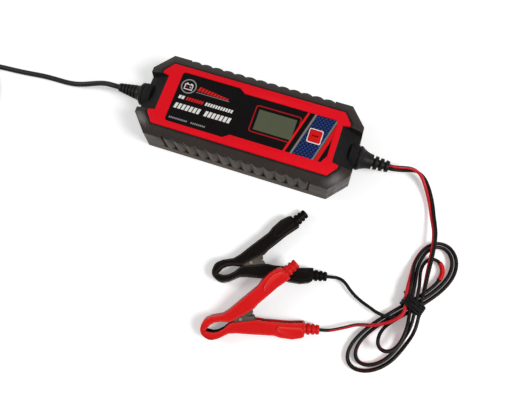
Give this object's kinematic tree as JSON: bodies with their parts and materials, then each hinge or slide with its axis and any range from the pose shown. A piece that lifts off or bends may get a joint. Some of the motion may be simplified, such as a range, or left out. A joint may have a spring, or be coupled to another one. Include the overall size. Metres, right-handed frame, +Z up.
{
  "type": "battery charger",
  "caption": "Slim smart battery charger with display, button, mains cord with coiled length and plug, and a tied twin output cord ending in two spring clamps.",
  "frame": {"origin": "centre of the case on the surface it stands on, measured without the cords, boots and what is on the cords", "axes": "+Z up; +X along the case towards the output cord; +Y across the case, away from the clamps"},
  "size_m": [0.5553, 0.2256, 0.0355],
  "materials": {
    "case_plastic": "fine moulded texture",
    "red_plastic": "smooth moulded",
    "facia_film": "printed film, satin",
    "display_window": "clear tinted",
    "display_cell": "liquid crystal cell",
    "white_plastic": "smooth",
    "black_plastic": "moulded",
    "board_green": "solder mask",
    "screw_steel": "zinc plated",
    "ferrite": "ferrite core with a wound coil",
    "capacitor_sleeve": "shrunk sleeve",
    "aluminium": "extruded",
    "fuse_body": "glazed tube",
    "black_rubber": "matte",
    "boot_rubber": "satin moulded",
    "mains_cores": "insulated cores",
    "output_cores": "insulated cores",
    "cord_black": "smooth jacket",
    "plug_black": "satin moulded",
    "pin_nickel": "nickel-plated brass",
    "twin_cord": "twin cord, one core black and one core red",
    "cord_red": "smooth jacket",
    "cover_black": "moulded vinyl",
    "cover_red": "moulded vinyl",
    "jaw_steel": "pressed and plated",
    "rivet_steel": "plated",
    "spring_steel": "drawn wire"
  },
  "bodies": {
    "charger": {"lower_case": "case_plastic", "upper_case": "case_plastic", "top_bezel": "red_plastic", "facia_plate": "facia_film", "display_lens": "display_window", "display_module": "display_cell", "button_frame": "white_plastic", "tactile_switch": "black_plastic", "display_board": "board_green", "board_link": "black_plastic", "main_board": "board_green", "board_screws": "screw_steel", "transformer": "ferrite", "mains_capacitor": "capacitor_sleeve", "output_capacitors": "capacitor_sleeve", "heat_sink": "aluminium", "power_transistor": "black_plastic", "mains_fuse": "fuse_body", "case_screws": "screw_steel", "rubber_feet": "black_rubber", "case_seal": "black_rubber", "mains_boot": "boot_rubber", "output_boot": "boot_rubber", "mains_inner_leads": "mains_cores", "output_inner_leads": "output_cores", "mains_cord": "cord_black", "mains_coil": "cord_black", "plug_body": "plug_black", "plug_pins": "pin_nickel", "output_cord": "twin_cord", "output_hank": "twin_cord", "hank_tie": "black_plastic", "black_lead": "cord_black", "red_lead": "cord_red", "black_lower_cover": "cover_black", "black_lower_jaw": "jaw_steel", "black_rivet": "rivet_steel", "black_spring": "spring_steel", "red_lower_cover": "cover_red", "red_lower_jaw": "jaw_steel", "red_rivet": "rivet_steel", "red_spring": "spring_steel"},
    "button": {"mode_button": "red_plastic"},
    "black_upper_arm": {"black_upper_cover": "cover_black", "black_upper_jaw": "jaw_steel"},
    "red_upper_arm": {"red_upper_cover": "cover_red", "red_upper_jaw": "jaw_steel"}
  },
  "joints": [
    {"name": "button_press", "type": "slide", "parent": "charger", "child": "button", "axis": [0, 0, -1], "range_m": [0, 0.0006], "stiffness_N_per_m": 900, "springref_m": -0.0006},
    {"name": "black_clamp_hinge", "type": "hinge", "parent": "charger", "child": "black_upper_arm", "pos_m": [0.041, -0.1154, 0.0055], "axis": [0, 0, -1], "range_deg": [0, 32], "stiffness_Nm_per_rad": 0.25, "springref_deg": -34.38, "deforming": ["black_spring"]},
    {"name": "red_clamp_hinge", "type": "hinge", "parent": "charger", "child": "red_upper_arm", "pos_m": [0.04738, -0.16114, 0.00943], "axis": [-0.076, 0.2297, -0.9703], "range_deg": [0, 32], "stiffness_Nm_per_rad": 0.25, "springref_deg": -34.38, "deforming": ["red_spring"]}
  ]
}
